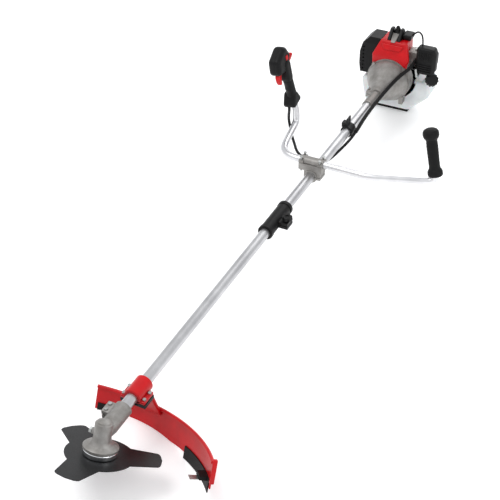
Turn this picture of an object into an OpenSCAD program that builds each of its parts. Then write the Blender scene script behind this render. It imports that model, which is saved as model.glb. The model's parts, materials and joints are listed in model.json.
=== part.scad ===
// Brush cutter: two-stroke engine, split aluminium tube, bevel gearhead and three-tooth blade.
// +Y runs along the tube from blade to engine, +X is the operator's left, +Z is up.
// The machine lies on its engine stand and on the lower edge of its blade guard.

/* [Tube] */
// Outer diameter of the drive tube
tube_d = 26; // [24:1:28]
// Wall of the drive tube
tube_wall = 1.5; // [1:0.25:2]
// Distance from the gear apex to the rear end of the tube
tube_l = 1500; // [1450:5:1560]
// Height of the tube axis over the floor
axis_h = 130; // [128:1:140]
// Diameter of the drive shaft
shaft_d = 8; // [7:1:8]

/* [Gearhead and blade] */
// Angle between the blade plane and the tube
head_tilt = 24; // [20:1:28]
// Height of the gear apex over the blade
blade_drop = 44; // [42:1:48]
// Diameter of the blade over its tips
blade_d = 255; // [230:1:255]
// Thickness of the blade
blade_t = 1.6; // [1.4:0.2:2]
// Number of teeth on the pinion
pinion_teeth = 14; // [14:1:14]
// Number of teeth on the bevel gear
gear_teeth = 19; // [19:1:19]

/* [Guard] */
// Radius of the guard's wall in plan
guard_r = 336; // [330:1:340]
// Height of the guard's wall
guard_h = 62; // [50:1:66]
// Wall of the guard
guard_wall = 3; // [2.5:0.5:4]

/* [Handlebar] */
// Distance from the gear apex to the handlebar
bar_l = 1035; // [1000:5:1080]
// Height of the handlebar over the tube axis
bar_rise = 34; // [32:1:38]
// Outer diameter of the handlebar
bar_d = 19; // [17:1:20]

/* [Engine] */
// Bore of the cylinder
bore_d = 40; // [38:1:42]
// Stroke of the piston
stroke = 32; // [30:1:34]
// Distance from the gear apex to the cylinder's axis
cylinder_l = 1650; // [1645:1:1655]
// Number of cooling fins on the cylinder
fin_count = 7; // [5:1:8]

/* [Hidden] */
$fn = 48;

stand_l = 1660;
tube_r = tube_d / 2;
tube_bore_r = tube_r - tube_wall;
shaft_r = shaft_d / 2;
run_gap = 0.05;
split_l = 800;
floor_z = -axis_h;
cut_extra = 1;

// Coupler and hanger stations along the tube
coupler_l = 742;
coupler_len = 120;
knob_x = 32;
hanger_l = 1278;

// Bevel pair: pitch angles follow from the tooth ratio and the shaft angle
gear_m = 1.3;
pair_angle = 90 - head_tilt;
gear_ratio = gear_teeth / pinion_teeth;
pinion_pitch = atan(sin(pair_angle) / (gear_ratio + cos(pair_angle)));
gear_pitch = pair_angle - pinion_pitch;
cone_l = gear_m * pinion_teeth / 2 / sin(pinion_pitch);
face_w = 6;
pinion_front = 12.5;

// Guard wall: centre of its arc and the angles where it ends
guard_c = [-53, -130];
guard_a0 = 34;
guard_a1 = 104;
guard_top = 1;

// Throttle grip: foot, height and lean
grip_foot = [-129, 1196, 88];
grip_lean = [10, -10, 0];
head_x0 = -26;
head_w = 34;
seam_x = -6;
trigger_pivot = [-9, -14, 130];
lockout_pivot = [-9, 10, 134];

// Right grip: foot and lean
right_foot = [318, 1088, 52];
right_lean = [-9, -15, 0];
right_grip_h = 122;

// Handlebar centre line, from the throttle grip to the right grip
bar_route = [[-140, 1185, 150], [-132, 1193, 104], [-127, 1198, 74], [-126, 1200, 56],
    [-125, 1196, 42], [-123, 1182, 35], [-118, 1150, 34], [-112, 1114, 34], [-106, 1083, 34],
    [-97, 1060, 34], [-82, 1044, 34], [-62, 1037, 34], [-36, 1035, 34], [0, 1035, 34],
    [60, 1035, 34], [120, 1034, 34], [145, 1034, 34], [170, 1038, 34], [220, 1055, 34],
    [270, 1072, 34], [296, 1081, 34], [308, 1085, 36], [315, 1087, 42], [318, 1088, 52],
    [302, 1096, 112]];

// Cable route: out of the throttle grip, below the bar, under the tube
cable_route = [[-136, 1171.5, 100], [-135.5, 1173, 91], [-138, 1178, 78], [-142, 1185, 62],
    [-144, 1190, 44], [-141, 1190, 26], [-133, 1181, 12], [-119, 1162, 6], [-102, 1138, 4],
    [-84, 1112, 4],
    [-66, 1096, 3], [-46, 1090, -3], [-30, 1094, -10], [-15, 1110, -18], [-3, 1135, -21],
    [4, 1165, -21], [9, 1195, -19], [16, 1225, -13], [22, 1250, -5], [25, 1272, 2]];

// Loom route: from the hanger past the clutch housing to the carburettor
loom_route = [[25, 1272, 2], [26, 1295, 8], [25, 1330, 12], [24, 1380, 14], [25, 1430, 16],
    [28, 1480, 20], [36, 1520, 30], [48, 1555, 43], [59, 1577, 51], [67, 1594, 58],
    [70, 1612, 65], [70, 1629.6, 66]];
cable_d = 8;
loom_d = 11;

// Engine stations and sizes
crank_r = stroke / 2;
web_r = 23;
web_gap = 14;
case_front = 1624;
case_back = 1676;
head_z = 128;
tank_front = 1626;
tank_back = 1706;
cap_at = [125, 1619, 15];
cap_lean = [35, 38, 0];

module placed() {
    translate([0, -stand_l, axis_h]) children();
}

// Local +Z becomes the tube's direction, away from the blade
module along_tube(l) {
    translate([0, l, 0]) rotate([-90, 0, 0]) children();
}

// Gearhead frame: origin at the gear apex, +Z up the blade axis
module at_head() {
    rotate([-head_tilt, 0, 0]) children();
}

// Throttle grip frame: origin at the foot, +Z up the grip, -Y towards the trigger
module at_throttle() {
    translate(grip_foot) rotate(grip_lean) children();
}

module at_right_grip() {
    translate(right_foot) rotate(right_lean) children();
}

module ring(outer, inner, h) {
    difference() {
        cylinder(r = outer, h = h);
        translate([0, 0, -cut_extra]) cylinder(r = inner, h = h + 2 * cut_extra);
    }
}

module block(x0, x1, y0, y1, z0, z1) {
    translate([x0, y0, z0]) cube([x1 - x0, y1 - y0, z1 - z0]);
}

// Hexagon-headed bolt pointing down, its head's underside at z = 0
module bolt(d, l) {
    translate([0, 0, -l]) cylinder(d = d, h = l + d * 0.2);
    cylinder(d = d * 1.8, h = d * 0.7, $fn = 6);
}

// Tube swept along points: one ring of vertices square to the route at each point
function unit(v) = v / norm(v);
function sweep_dir(p, i) = unit(p[min(i + 1, len(p) - 1)] - p[max(i - 1, 0)]);
function sweep_side(t) = unit(cross(t, abs(t[2]) > 0.9 ? [0, 1, 0] : [0, 0, 1]));
function ring_points(p, i, r, sides) =
    let (t = sweep_dir(p, i), a = sweep_side(t), b = cross(t, a))
    [for (k = [0 : sides - 1]) p[i] + r * (cos(360 * k / sides) * a + sin(360 * k / sides) * b)];

module sweep(p, r, sides) {
    points = [for (i = [0 : len(p) - 1]) each ring_points(p, i, r, sides)];
    walls = [for (i = [0 : len(p) - 2], k = [0 : sides - 1])
        let (a = i * sides + k, b = i * sides + (k + 1) % sides)
        each [[a, b, b + sides], [a, b + sides, a + sides]]];
    ends = [[for (k = [sides - 1 : -1 : 0]) k],
        [for (k = [0 : sides - 1]) (len(p) - 1) * sides + k]];
    polyhedron(points, concat(walls, ends));
}

// The same sweep as a hollow tube, open at both ends
module sweep_tube(p, outer, inner, sides) {
    count = len(p);
    points = concat([for (i = [0 : count - 1]) each ring_points(p, i, outer, sides)],
        [for (i = [0 : count - 1]) each ring_points(p, i, inner, sides)]);
    half = count * sides;
    walls = [for (i = [0 : count - 2], k = [0 : sides - 1])
        let (a = i * sides + k, b = i * sides + (k + 1) % sides)
        each [[a, b, b + sides], [a, b + sides, a + sides],
            [half + a, half + b + sides, half + b], [half + a, half + a + sides, half + b + sides]]];
    ends = [for (k = [0 : sides - 1]) let (m = (k + 1) % sides, last = (count - 1) * sides)
        each [[k, half + k, half + m], [k, half + m, m],
            [last + k, last + m, half + last + m], [last + k, half + last + m, half + last + k]]];
    polyhedron(points, concat(walls, ends));
}

// Points between the route's points on a smooth cubic
function spline(p, i, t) =
    let (a = p[max(i - 1, 0)], b = p[i], c = p[i + 1], d = p[min(i + 2, len(p) - 1)])
    0.5 * (2 * b + (c - a) * t + (2 * a - 5 * b + 4 * c - d) * t * t
        + (3 * b - 3 * c + d - a) * t * t * t);
function smooth_route(p, n) = concat(
    [for (i = [0 : len(p) - 2], k = [0 : n - 1]) spline(p, i, k / n)], [p[len(p) - 1]]);

// ---- Tube and drive shafts ----

module drive_tube(l0, l1) {
    along_tube(l0) ring(tube_r, tube_bore_r, l1 - l0);
}

module lower_tube() placed() color("silver") {
    drive_tube(28, split_l - 2);
}

module upper_tube() placed() color("silver") {
    drive_tube(split_l + 2, tube_l);
}

module lower_drive_shaft() placed() color("gray") {
    along_tube(pinion_front) cylinder(r = shaft_r, h = split_l - 5 - pinion_front);
    along_tube(split_l - 5) cylinder(r = shaft_r - 1, h = 25, $fn = 4);
}

module upper_drive_shaft() placed() color("gray") {
    along_tube(split_l) ring(shaft_r + 3, shaft_r - 0.6, 28);
    along_tube(split_l + 28) cylinder(r = shaft_r + 3, h = 4);
    along_tube(split_l + 32) cylinder(r = shaft_r, h = tube_l + 56 - split_l - 32);
}

module shaft_bush(l) {
    along_tube(l) ring(tube_bore_r, shaft_r + run_gap, 22);
}

module lower_bushes() placed() color("saddlebrown") {
    for (l = [150 : 200 : 750]) shaft_bush(l);
}

module upper_bushes() placed() color("saddlebrown") {
    for (l = [880 : 195 : 1465]) shaft_bush(l);
}

// ---- Gearhead ----

module gearbox_case() placed() color("darkgray") difference() {
    union() {
        at_head() rotate_extrude() polygon([[0, -30], [37, -30], [37, -25], [34, -23], [24, -19],
            [20, -13], [18.5, -5], [18.5, 25], [16, 26], [15, 29], [9, 32], [0, 33]]);
        along_tube(6) cylinder(r1 = 16, r2 = 19, h = 18);
        along_tube(24) cylinder(r = 19, h = 56);
        block(-32, -10, 46, 76, -11, 11);
        at_head() block(-24, -15, -5, 5, -4, 6);
    }
    at_head() translate([0, 0, -31]) cylinder(r = 15, h = 12);
    at_head() translate([0, 0, -20]) cylinder(r = 13.2, h = 22);
    at_head() translate([0, 0, 0]) cylinder(r = 14.6, h = 17);
    at_head() translate([0, 0, 16.9]) cylinder(r = 13, h = 8.1);
    along_tube(2) cylinder(r = 12, h = 26.5);
    along_tube(28) cylinder(r = tube_r, h = 60);
    block(-40, -8, 40, 84, -1, 1);
    for (l = [53, 69]) translate([-25, l, -20]) cylinder(r = 2.6, h = 40);
}

module bearing(bore_r, outer_r, h) {
    ring(outer_r, bore_r + run_gap, h);
}

module gearbox_bearings() placed() color("lightgray") {
    at_head() translate([0, 0, -30]) bearing(5, 15, 10);
    at_head() translate([0, 0, 17.2]) bearing(5, 13, 7.8);
    along_tube(20) bearing(shaft_r, 12, 8);
}

// Straight-toothed bevel: the tooth outline shrinks towards the pitch cone's apex
module bevel(teeth, pitch_angle, turn) {
    big = gear_m * teeth / 2;
    height = face_w * cos(pitch_angle);
    apex = cone_l * cos(pitch_angle);
    root = big - 1.1;
    tip = big + 0.75;
    step = 360 / teeth;
    outline = [for (i = [0 : teeth - 1]) each [
        for (q = [[root, -0.27], [tip, -0.13], [tip, 0.13], [root, 0.27]])
            q[0] * [cos((i + q[1]) * step + turn), sin((i + q[1]) * step + turn)]]];
    translate([0, 0, apex]) mirror([0, 0, 1])
        linear_extrude(height = height, scale = 1 - height / apex) polygon(outline);
}

module pinion() placed() color("dimgray") difference() {
    union() {
        along_tube(0) bevel(pinion_teeth, pinion_pitch, 90);
        along_tube(cone_l * cos(pinion_pitch)) cylinder(r = 5.5, h = 2);
    }
    along_tube(5) cylinder(r = shaft_r, h = 30);
}

module bevel_gear() placed() color("dimgray") at_head() difference() {
    bevel(gear_teeth, gear_pitch, 90 + 180 / gear_teeth);
    cylinder(r = 5, h = 30);
}

module spindle() placed() color("gray") at_head() {
    translate([0, 0, -58]) cylinder(r = 5, h = 82);
    translate([0, 0, -19.9]) cylinder(r = 7, h = 4);
    translate([0, 0, -42.8]) cylinder(r = 8, h = 12.5);
}

module gearbox_bolts() placed() color("black") {
    for (l = [53, 69]) translate([-25, l, 11]) bolt(5, 26);
    translate([0, 62, -19]) mirror([0, 0, 1]) bolt(6, 3);
    at_head() translate([-24, 0, 1]) rotate([0, -90, 0]) bolt(8, 8);
}

module upper_flange() placed() color("gainsboro") at_head() difference() {
    rotate_extrude() polygon([[0, -blade_drop + 0.8], [34, -blade_drop + 0.8], [35.5, -41.5],
        [35.5, -33], [34, -31], [0, -31]]);
    translate([0, 0, -blade_drop]) cylinder(r = 8, h = 13.8);
    translate([0, 0, -32]) cylinder(r = 16, h = 5);
}

// One blade arm: a long tooth that narrows to its tip, with rounded corners
module blade_arm() {
    polygon([[40, -42], [62, -37], [92, -32.5], [118, -28.5], [blade_d / 2 - 6, -25],
        [blade_d / 2 - 3.5, -19], [blade_d / 2 - 1, 0], [blade_d / 2 - 3.5, 19],
        [blade_d / 2 - 6, 25], [118, 28.5], [92, 32.5], [62, 37], [40, 42]]);
}

module blade() placed() color("black") at_head() translate([0, 0, -blade_drop - blade_t / 2])
    linear_extrude(height = blade_t) difference() {
        union() {
            circle(r = 72, $fn = 96);
            for (a = [30, 150, 270]) rotate(a) blade_arm();
        }
        circle(r = 5.05);
    }

module lower_flange() placed() color("gray") at_head() difference() {
    rotate_extrude() polygon([[0, -51], [14, -51], [27, -47.5], [27, -44.8], [0, -44.8]]);
    translate([0, 0, -60]) cylinder(r = 5, h = 20);
}

module blade_nut() placed() color("dimgray") at_head() difference() {
    union() {
        translate([0, 0, -60]) cylinder(r = 9.5, h = 9, $fn = 6);
        translate([0, 0, -53]) cylinder(r = 12, h = 2);
    }
    translate([0, 0, -58]) cylinder(r = 5, h = 12);
}

// ---- Guard ----

module floor_trim() {
    difference() {
        children();
        block(-400, 400, -300, 500, floor_z - 200, floor_z);
    }
}

// Wall that follows the guard's arc: r0..r1 across, z0..z1 high, between two angles
module guard_arc(r0, r1, z0, z1, a0, a1) {
    translate([guard_c[0], guard_c[1], 0]) rotate([0, 0, a0])
        rotate_extrude(angle = a1 - a0, $fn = 180)
            translate([r0, z0]) square([r1 - r0, z1 - z0]);
}

module guard_shield() placed() color("crimson") difference() {
    union() {
        floor_trim() at_head() {
            guard_arc(guard_r - guard_wall, guard_r, guard_top - guard_h, guard_top,
                guard_a0, guard_a1);
            guard_arc(guard_r - 8, guard_r, guard_top - 3, guard_top, guard_a0, guard_a1);
            guard_arc(guard_r - 5, guard_r + 5, guard_top - 50, guard_top + 4, guard_a0 - 1,
                guard_a0 + 0.8);
        }
        along_tube(112) cylinder(r = 20, h = 54);
        block(-30, 30, 112, 150, -11, -3);
        intersection() {
            hull() {
                block(-20, 20, 150, 154, -20, 8);
                block(-58, 58, 186, 190, -88, -84);
            }
            at_head() translate([guard_c[0], guard_c[1], -120])
                cylinder(r = guard_r - 1, h = 240, $fn = 180);
        }
        translate([12, 0, -36]) along_tube(100) cylinder(r = 9, h = 68);
    }
    along_tube(100) cylinder(r = tube_r, h = 120);
    block(-40, 40, 104, 149.8, -26, -11);
    for (x = [-24.8, 24.8], l = [120, 142]) translate([x, l, -14]) cylinder(r = 2.6, h = 20);
}

module guard_clamp() placed() color("black") difference() {
    block(-30, 30, 112, 149, -20, -11);
    along_tube(100) cylinder(r = tube_r, h = 80);
    for (x = [-24.8, 24.8], l = [120, 142]) translate([x, l, -30]) cylinder(r = 2.6, h = 40);
}

module guard_bolts() placed() color("silver") {
    for (x = [-24.8, 24.8], l = [120, 142]) translate([x, l, -3]) bolt(5, 22);
}

module guard_skirt() placed() color("black") floor_trim() at_head() {
    guard_arc(guard_r - guard_wall - 2.5, guard_r - guard_wall, -72, -44, guard_a0 + 1, 60);
    guard_arc(guard_r - guard_wall - 2.5, guard_r - guard_wall, -70, -40, 92, guard_a1 - 1);
    guard_arc(guard_r - 22, guard_r - guard_wall - 2.5, -52, -44, guard_a0 + 3, guard_a0 + 8);
}

module line_cutter() placed() color("silver") at_head() translate([guard_c[0], guard_c[1], 0])
    rotate([0, 0, guard_a0 + 5.5]) block(guard_r - 40, guard_r - 8, -9, 9, -53.5, -52);

// ---- Coupler ----

module coupler_body() placed() color("black") difference() {
    union() {
        along_tube(coupler_l) cylinder(r = 18.5, h = coupler_len);
        for (l = [coupler_l, coupler_l + coupler_len - 10]) along_tube(l) cylinder(r = 20, h = 10);
        block(10, knob_x + 8, coupler_l + 44, coupler_l + 76, -9, 9);
    }
    along_tube(coupler_l - 5) cylinder(r = tube_r + run_gap, h = coupler_len + 10);
    block(8, 50, coupler_l + 20, coupler_l + 100, -1, 1);
    translate([knob_x, coupler_l + 60, -20]) cylinder(r = 3.1, h = 40);
}

module coupler_knob() placed() color("dimgray") translate([knob_x, coupler_l + 60, 9.3]) {
    difference() {
        union() {
            cylinder(r = 7, h = 4);
            translate([0, 0, 3]) cylinder(r = 13, h = 9);
        }
        translate([0, 0, 10]) cylinder(r = 5, h = 5);
        for (a = [0 : 60 : 300]) rotate(a) translate([14.5, 0, 2]) cylinder(r = 4, h = 12);
    }
    translate([0, 0, -22]) cylinder(r = 3, h = 24);
}

// ---- Handlebar ----

module handlebar_mount() placed() color("darkgray") difference() {
    union() {
        block(-36, 30, bar_l - 17, bar_l + 17, 14, bar_rise - 0.5);
        block(-20, 27, bar_l - 17, bar_l + 17, -8, 15);
        along_tube(bar_l - 19) cylinder(r = 18.5, h = 38);
    }
    along_tube(bar_l - 30) cylinder(r = tube_r, h = 60);
    translate([-60, bar_l, bar_rise]) rotate([0, 90, 0]) cylinder(d = bar_d, h = 120);
    block(8, 40, bar_l - 40, bar_l + 40, -1, 1);
    for (x = [-30, 23], l = [-12.5, 12.5]) translate([x, bar_l + l, -30]) cylinder(r = 2.6, h = 80);
}

module handlebar_cap() placed() color("darkgray") difference() {
    union() {
        translate([-36, bar_l, bar_rise]) rotate([0, 90, 0]) cylinder(r = 13.5, h = 66);
        for (x = [-36, 17]) block(x, x + 13, bar_l - 17, bar_l + 17, bar_rise, bar_rise + 8);
    }
    translate([-60, bar_l, bar_rise]) rotate([0, 90, 0]) cylinder(d = bar_d, h = 120);
    block(-50, 50, bar_l - 40, bar_l + 40, -20, bar_rise + 0.5);
    for (x = [-30, 23], l = [-12.5, 12.5]) translate([x, bar_l + l, 0]) cylinder(r = 2.6, h = 80);
}

module handlebar_bolts() placed() color("dimgray") {
    for (x = [-30, 23], l = [-12.5, 12.5])
        translate([x, bar_l + l, bar_rise + 14]) bolt(5, 40);
}

module handlebar() placed() color("lightgray") {
    sweep_tube(smooth_route(bar_route, 2), bar_d / 2, bar_d / 2 - 1.5, 14);
}

module right_grip() placed() color("black") at_right_grip() difference() {
    rotate_extrude() polygon([[0, 0], [19, 0], [20, 4], [19.5, 14], [15, 20], [14, 26], [14, 96],
        [15, 100], [19.5, 104], [21, 112], [20, 121], [15, 126], [0, 128]]);
    translate([0, 0, -1]) cylinder(d = bar_d, h = 64);
}

// Outside of the throttle grip, both shells together
module throttle_outer(grow) {
    hull() {
        for (q = [[-17, 18, 8.5], [12, 20, 8.5]]) translate([-21 + grow, q[0], q[1]])
            rotate([0, 90, 0]) cylinder(r = q[2] - grow, h = 36 - 2 * grow, $fn = 32);
        translate([0, 0, 34]) cylinder(r = 13.2 - grow, h = 2, $fn = 32);
    }
    translate([0, 0, 24 + grow]) cylinder(r = 14 - grow, h = 80);
    hull() {
        translate([0, 0, 90]) cylinder(r = 13.2 - grow, h = 2, $fn = 32);
        translate([head_x0 + 2 + grow, 2, 134]) rotate([0, 90, 0])
            cylinder(r = 12 - grow, h = head_w - 4 - 2 * grow, $fn = 32);
    }
    hull() for (q = [[-30, 140, 14], [-18, 156, 17], [12, 166, 17], [18, 150, 14], [0, 132, 14]])
        translate([head_x0 + grow, q[0], q[1]]) rotate([0, 90, 0])
            cylinder(r = q[2] - grow, h = head_w - 2 * grow, $fn = 32);
}

module throttle_shell() {
    difference() {
        throttle_outer(0);
        intersection() {
            throttle_outer(2.5);
            block(-30, 30, -60, 40, 66, 200);
        }
        translate([0, 0, -2]) cylinder(d = bar_d, h = 66);
        translate([-5, -22, 4]) cylinder(d = cable_d + 1, h = 15);
        block(-14, -4, -42, -8, 96, 131);
        block(-13.5, -4.5, 8, 40, 112, 139);
        for (q = [trigger_pivot, lockout_pivot])
            translate([-40, q[1], q[2]]) rotate([0, 90, 0]) cylinder(r = 2, h = 80);
        translate([4, 8, 158]) block(0, 12, -6.5, 6.5, -9, 9);
    }
}

module throttle_shell_left() placed() color("black") at_throttle() intersection() {
    throttle_shell();
    block(-60, seam_x - 0.05, -80, 60, -20, 220);
}

module throttle_shell_right() placed() color("black") at_throttle() intersection() {
    throttle_shell();
    block(seam_x + 0.05, 60, -80, 60, -20, 220);
}

module throttle_trigger() placed() color("red") at_throttle() {
    translate([-25, trigger_pivot[1], trigger_pivot[2]]) rotate([0, 90, 0])
        cylinder(r = 1.92, h = 32);
    translate([-13, 0, 0]) rotate([90, 0, 90]) linear_extrude(height = 8)
        polygon([[-17, 129], [-11, 128], [-12, 122], [-20, 120], [-25, 112], [-28, 102],
            [-31, 101], [-34, 108], [-35, 118], [-32, 122], [-22, 124]]);
}

module throttle_lockout() placed() color("red") at_throttle() {
    translate([-25, lockout_pivot[1], lockout_pivot[2]]) rotate([0, 90, 0])
        cylinder(r = 1.92, h = 32);
    translate([-12.5, 0, 0]) rotate([90, 0, 90]) linear_extrude(height = 7)
        polygon([[8.5, 136], [12, 136.5], [24, 134], [28, 130], [27, 125], [22, 124], [19, 129],
            [10, 132]]);
}

module stop_switch() placed() color("firebrick") at_throttle()
    translate([4, 8, 158]) block(0, 7, -5.5, 5.5, -8.7, 3.3);

module throttle_cable() placed() color("black") {
    sweep(smooth_route(cable_route, 2), cable_d / 2, 10);
}

module cable_loom() placed() color("black") {
    sweep(smooth_route(loom_route, 2), loom_d / 2, 12);
}

// Band that holds the loom on the tube, with the plate that the harness hooks into
module harness_hanger() placed() color("black") difference() {
    union() {
        along_tube(hanger_l - 14) cylinder(r = 17.5, h = 28);
        block(-17, -1.5, hanger_l - 9, hanger_l + 9, 10, 24);
        block(-2, 2, hanger_l - 12, hanger_l + 12, 15, 40);
    }
    along_tube(hanger_l - 20) cylinder(r = tube_r, h = 40);
    translate([-10, hanger_l, 32]) rotate([0, 90, 0]) cylinder(r = 5, h = 30);
    sweep(smooth_route(loom_route, 2), loom_d / 2, 12);
}

// ---- Clutch ----

module clutch_housing() placed() color("darkgray") difference() {
    union() {
        along_tube(1422) rotate_extrude() polygon([[tube_r, 0], [16, 0], [16, 68], [20, 68],
            [22, 76], [26, 88], [36, 108], [48, 130], [60, 154], [64, 162], [64, 170], [60, 170],
            [60, 162], [56, 155], [44, 132], [30, 102], [shaft_r + run_gap, 102],
            [shaft_r + run_gap, 78], [tube_r, 78]]);
        block(-30, -14.5, 1488, 1512, -9, 9);
        for (a = [45 : 90 : 315]) along_tube(1584.5) rotate(a) translate([66.5, 0, 0])
            cylinder(r = 5.5, h = 7.5);
    }
    translate([-25, 1500, -20]) cylinder(r = 2.6, h = 40);
    block(-40, -12, 1480, 1515, -1, 1);
}

module clutch_drum() placed() color("gray") {
    along_tube(1528) difference() {
        union() {
            translate([0, 0, 2]) cylinder(r = 9, h = 25);
            translate([0, 0, 24]) ring(34, 8, 3);
            translate([0, 0, 24]) ring(36, 33.5, 28);
        }
        translate([0, 0, -1]) cylinder(r = shaft_r, h = 40);
    }
}

// Two shoes on pivots, held in by a spring; they fly out against the drum
module clutch_shoes() placed() color("sienna") {
    for (a = [0, 180]) along_tube(1560) rotate(a) difference() {
        intersection() {
            ring(32, 15, 16);
            block(-40, 40, 4, 40, -1, 20);
        }
        translate([0, 22, -1]) cylinder(r = 3.5, h = 20);
    }
}

module flywheel() placed() color("silver") {
    along_tube(1596) difference() {
        union() {
            ring(40, 6, 8);
            ring(14, 6, 18);
            for (a = [0 : 30 : 330]) rotate(a) block(38, 54, -1.5, 1.5, 0, 18);
            for (a = [0, 180]) rotate(a) translate([0, 22, -18]) cylinder(r = 8, h = 18);
        }
        for (a = [0, 180]) rotate(a) translate([0, 22, -25]) cylinder(r = 3.5, h = 20);
    }
    for (a = [0, 180]) along_tube(1558) rotate(a) translate([0, 22, 0]) cylinder(r = 3.5, h = 33);
}

// ---- Engine ----

module crankshaft() placed() color("gray") {
    along_tube(1590) cylinder(r = 6, h = cylinder_l - web_gap / 2 - 9 - 1590);
    along_tube(cylinder_l - web_gap / 2 - 9) cylinder(r = web_r, h = 9);
    along_tube(cylinder_l + web_gap / 2) cylinder(r = web_r, h = 9);
    along_tube(cylinder_l + web_gap / 2 + 9) cylinder(r = 6, h = 40);
}

// Held at the top of its stroke, with the crank pin between the webs
module connecting_rod() placed() color("lightgray") {
    translate([0, cylinder_l, 0]) {
        translate([0, -6, crank_r]) rotate([-90, 0, 0]) cylinder(r = 6, h = 12);
        difference() {
            union() {
                translate([0, -5, crank_r]) rotate([-90, 0, 0]) cylinder(r = 9, h = 10);
                block(-4, 4, -3, 3, crank_r + 6, crank_r + 52);
                translate([0, -5, crank_r + 56]) rotate([-90, 0, 0]) cylinder(r = 7, h = 10);
            }
            translate([0, -8, crank_r]) rotate([-90, 0, 0]) cylinder(r = 6, h = 16);
            translate([0, -8, crank_r + 56]) rotate([-90, 0, 0]) cylinder(r = 4.5, h = 16);
        }
    }
}

module piston() placed() color("lightgray") translate([0, cylinder_l, 0]) {
    difference() {
        translate([0, 0, crank_r + 40]) cylinder(d = bore_d - 0.2, h = 30);
        translate([0, 0, crank_r + 39]) cylinder(d = bore_d - 8, h = 25);
        translate([0, -30, crank_r + 56]) rotate([-90, 0, 0]) cylinder(r = 4.5, h = 60);
    }
    translate([0, -17, crank_r + 56]) rotate([-90, 0, 0]) cylinder(r = 4.5, h = 34);
}

module crankcase() placed() color("darkgray") difference() {
    union() {
        along_tube(1592) cylinder(r = 68, h = case_front - 1592);
        block(-38, 38, case_front, case_back, -44, 44);
        along_tube(case_back - 0.1) cylinder(r = 30, h = 8);
        for (x = [-46, 34]) block(x, x + 12, 1604, 1680, -80, -30);
    }
    along_tube(1591) cylinder(r = 62, h = 28);
    along_tube(1610) cylinder(r = 6.05, h = 90);
    along_tube(cylinder_l - 17) cylinder(r = web_r + 3, h = 34);
    translate([0, cylinder_l, 10]) cylinder(r = 20.5, h = 40);
}

module cylinder_fin(z) {
    block(-36, 36, cylinder_l - 25, cylinder_l + 30, z, z + 2.2);
}

module cylinder_barrel() {
    translate([0, cylinder_l, 44]) cylinder(r = 26, h = head_z - 54);
    for (i = [0 : fin_count - 1]) cylinder_fin(56 + i * 9);
    block(-46, -20, cylinder_l - 14, cylinder_l + 14, 65, 88);
    block(20, 44, cylinder_l - 14, cylinder_l + 14, 56, 82);
}

module cylinder_head() placed() color("lightgray") difference() {
    cylinder_barrel();
    translate([0, cylinder_l, 43]) cylinder(d = bore_d, h = 55);
    translate([0, cylinder_l, 97.9]) cylinder(r = 14, h = 5);
    translate([0, cylinder_l, 100]) cylinder(r = 7, h = 40);
    translate([-50, cylinder_l, 77]) rotate([0, 90, 0]) cylinder(r = 8, h = 35);
    translate([15, cylinder_l, 69]) rotate([0, 90, 0]) cylinder(r = 8, h = 35);
}

module spark_plug() placed() color("white") translate([0, cylinder_l, 0]) {
    translate([0, 0, 101]) cylinder(r = 7, h = 17);
    translate([0, 0, 118]) cylinder(r = 9, h = 7, $fn = 6);
    translate([0, 0, 125]) cylinder(r = 5, h = 16);
}

// Black moulding round the plug: two cheeks that rise to peaks, and the cap over the plug
module plug_cover() placed() color("black") translate([0, cylinder_l, 0]) difference() {
    union() {
        translate([0, 0, 128]) cylinder(r = 11, h = 16);
        translate([0, 0, 144]) sphere(r = 11);
        for (x = [-20, 9]) translate([x, 0, 0]) rotate([90, 0, 90]) linear_extrude(height = 9)
            polygon([[-32, 118.1], [24, 118.1], [24, 136], [4, 148], [-8, 149], [-26, 130]]);
        block(18, 46, -14, 24, 118.1, 134);
        block(-20, 18, 16, 24, 118.1, 132);
    }
    translate([0, 0, 120]) cylinder(r = 5, h = 21);
    translate([0, 0, 110]) cylinder(r = 9.5, h = 18);
}

// Red shroud: a wide front over the fan housing, and a narrower part over the cylinder
module shroud(grow) {
    hull() {
        block(-58 + grow, 52 - grow, 1592 + grow, 1607 - grow, 40, 46);
        block(-60 + grow, 58 - grow, 1594 + grow, 1611 - grow, 70, 76);
        block(-42 + grow, 46 - grow, 1612 + grow, 1622 - grow, 116 - grow, 118 - grow);
    }
    hull() {
        block(-42 + grow, 43 - grow, 1600 + grow, 1683 - grow, 40, 46);
        block(-42 + grow, 43 - grow, 1612 + grow, 1683 - grow, 114 - grow, 118 - grow);
    }
}

module top_cover() placed() color("red") difference() {
    shroud(0);
    shroud(2.5);
    block(-60, 60, 1585, 1695, 20, 47);
    block(-27, 27, 1623, 1677, 100, 140);
    block(-80, -30, cylinder_l - 18, cylinder_l + 18, 40, 96);
    block(30, 80, cylinder_l - 22, cylinder_l + 22, 40, 92);
    along_tube(1588) cylinder(r = 68.3, h = 40);
}

module muffler() placed() color("gray") difference() {
    block(-88, -46, 1634, 1678, 18, 88);
    block(-86, -48, 1636, 1676, 20, 86);
    translate([-50, cylinder_l, 77]) rotate([0, 90, 0]) cylinder(r = 8, h = 10);
    translate([-92, 1642, 36]) rotate([0, 90, 0]) cylinder(r = 5, h = 10);
}

module guard_shell(grow) {
    hull() {
        block(-104 + grow, -44, 1625 + grow, 1694 - grow, -8 + grow, 2);
        block(-108 + grow, -44, 1625 + grow, 1694 - grow, 20, 60);
        block(-100 + grow, -44, 1627 + grow, 1692 - grow, 86, 90);
        block(-80 + grow, -44, 1632 + grow, 1688 - grow, 108 - grow, 110 - grow);
    }
}

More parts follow.
